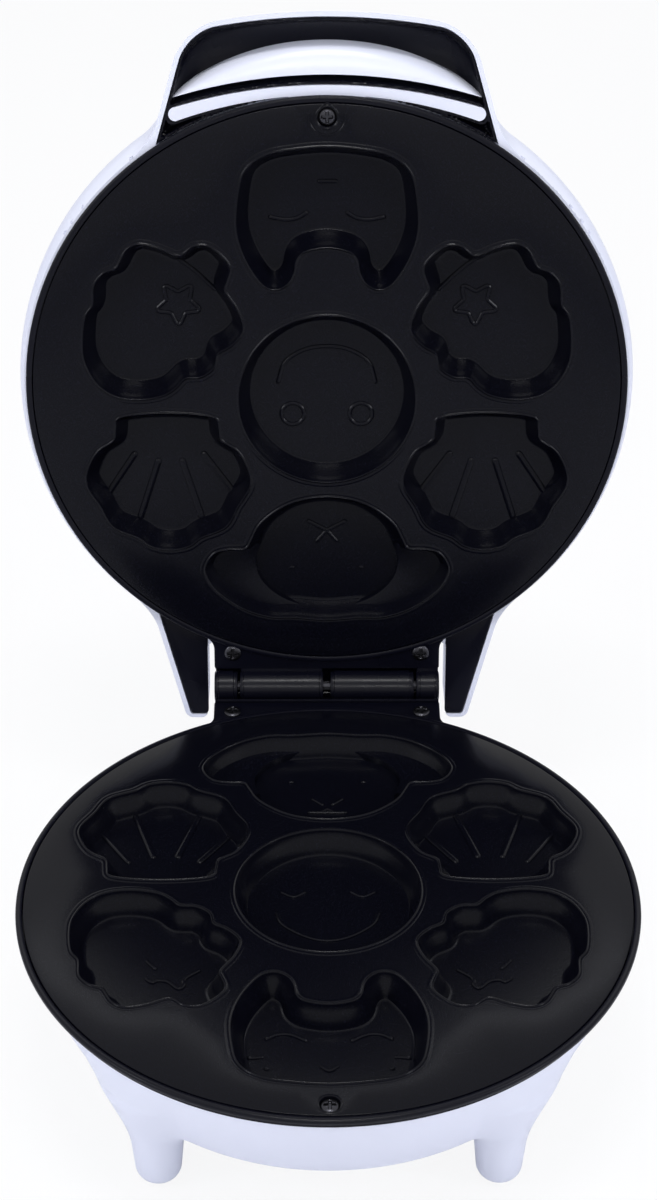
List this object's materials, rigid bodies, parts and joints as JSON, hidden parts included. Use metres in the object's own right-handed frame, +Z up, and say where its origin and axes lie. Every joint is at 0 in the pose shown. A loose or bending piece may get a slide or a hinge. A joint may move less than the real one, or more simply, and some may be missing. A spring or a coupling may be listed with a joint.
{
  "type": "shaped waffle maker",
  "caption": "Countertop maker of small shaped waffles: a hinged domed lid over a bowl on legs, both with a round non-stick plate of animal, shell and face moulds.",
  "frame": {"origin": "middle of the box round the open part, on the table under its feet", "axes": "+Z up, +Y from the front edge of the lower plate towards the hinge, +X to the right seen from the front"},
  "size_m": [0.2328, 0.3134, 0.3378],
  "materials": {
    "white_plastic": "smooth glossy cool white",
    "black_plastic": "satin black",
    "nonstick_coating": "black non-stick coating on cast aluminium",
    "rubber": "dark matt rubber",
    "screw_steel": "blackened steel",
    "heater_steel": "dull grey sheathed element",
    "reflector_steel": "bright rolled sheet",
    "thermostat_body": "pale ceramic",
    "red_lens": "clear red, glossy",
    "green_lens": "clear green, glossy"
  },
  "bodies": {
    "base": {"base_housing": "white_plastic", "base_frame": "black_plastic", "base_plate": "nonstick_coating", "base_heater": "heater_steel", "base_reflector": "reflector_steel", "base_thermostat": "thermostat_body", "base_screw_front": "screw_steel", "base_screw_rear_left": "screw_steel", "base_screw_rear_right": "screw_steel", "foot_pad_front_left": "rubber", "foot_pad_front_right": "rubber", "foot_pad_rear_left": "rubber", "foot_pad_rear_right": "rubber", "cord_gland": "rubber", "hinge_pin": "screw_steel"},
    "lid": {"lid_housing": "white_plastic", "lid_frame": "black_plastic", "lid_plate": "nonstick_coating", "lid_heater": "heater_steel", "lid_reflector": "reflector_steel", "lid_thermostat": "thermostat_body", "lid_screw_front": "screw_steel", "lid_screw_rear_left": "screw_steel", "lid_screw_rear_right": "screw_steel", "handle_liner": "black_plastic", "handle_ledge": "white_plastic", "horn_cover_left": "black_plastic", "horn_cover_right": "black_plastic", "power_lamp": "red_lens", "ready_lamp": "green_lens"}
  },
  "joints": [
    {"name": "lid_hinge", "type": "hinge", "parent": "base", "child": "lid", "pos_m": [0, 0.07925, 0.0748], "axis": [1, 0, 0], "range_deg": [0, 99.9]}
  ]
}
